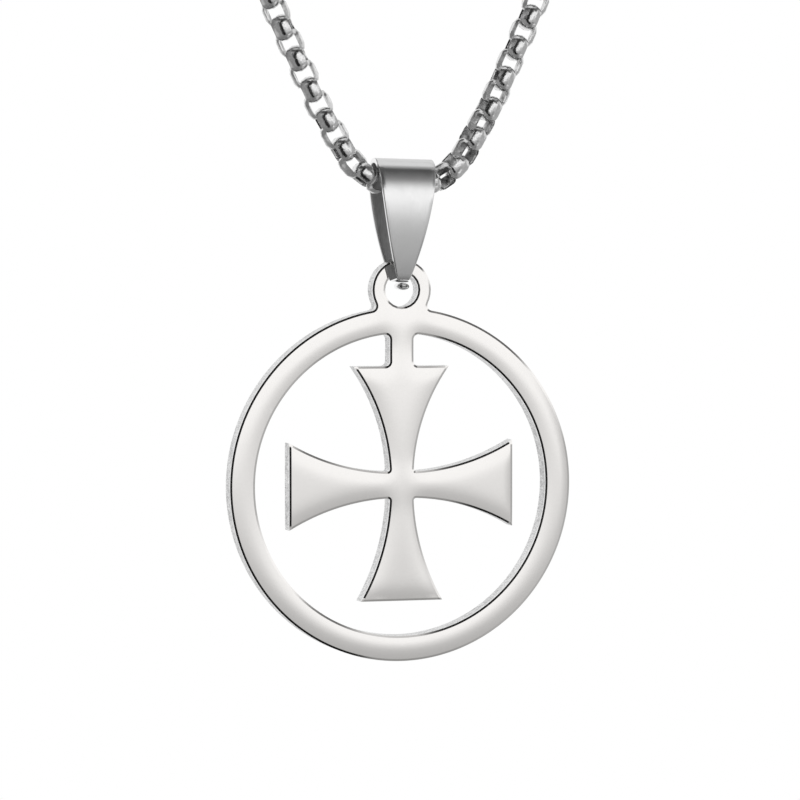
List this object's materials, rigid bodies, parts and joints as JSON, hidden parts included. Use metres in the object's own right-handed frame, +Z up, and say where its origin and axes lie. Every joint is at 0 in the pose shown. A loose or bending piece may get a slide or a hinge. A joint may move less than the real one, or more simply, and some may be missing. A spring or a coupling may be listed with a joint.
{
  "type": "cross pendant necklace",
  "caption": "Polished steel cross in a ring, hung by a tapering folded bail from a closed loop of round box chain with a plain barrel clasp.",
  "frame": {"origin": "middle of the clasp, where the loop sits on the nape of a neck", "axes": "+Z up, the medal's front faces -Y, +X to the right of a viewer who looks at the front"},
  "size_m": [0.1225, 0.1428, 0.2277],
  "materials": {
    "polished_plate": "mirror polished faces with soft edges, fine grained cut walls",
    "satin_strip": "satin brushed faces, polished edges",
    "chain_links": "polished rounded links with dark gaps",
    "clasp_barrel": "polished"
  },
  "bodies": {
    "loop": {"chain": "chain_links", "clasp": "clasp_barrel"},
    "bail": {"bail": "satin_strip"},
    "medal": {"medal": "polished_plate"}
  },
  "joints": [
    {"name": "bail_swing", "type": "hinge", "parent": "loop", "child": "bail", "pos_m": [0, -0.138, -0.178], "axis": [1, 0, 0], "range_deg": [-90, 90]},
    {"name": "medal_swing", "type": "hinge", "parent": "bail", "child": "medal", "pos_m": [0, -0.138, -0.1887], "axis": [0, 1, 0], "range_deg": [-60, 60]}
  ]
}
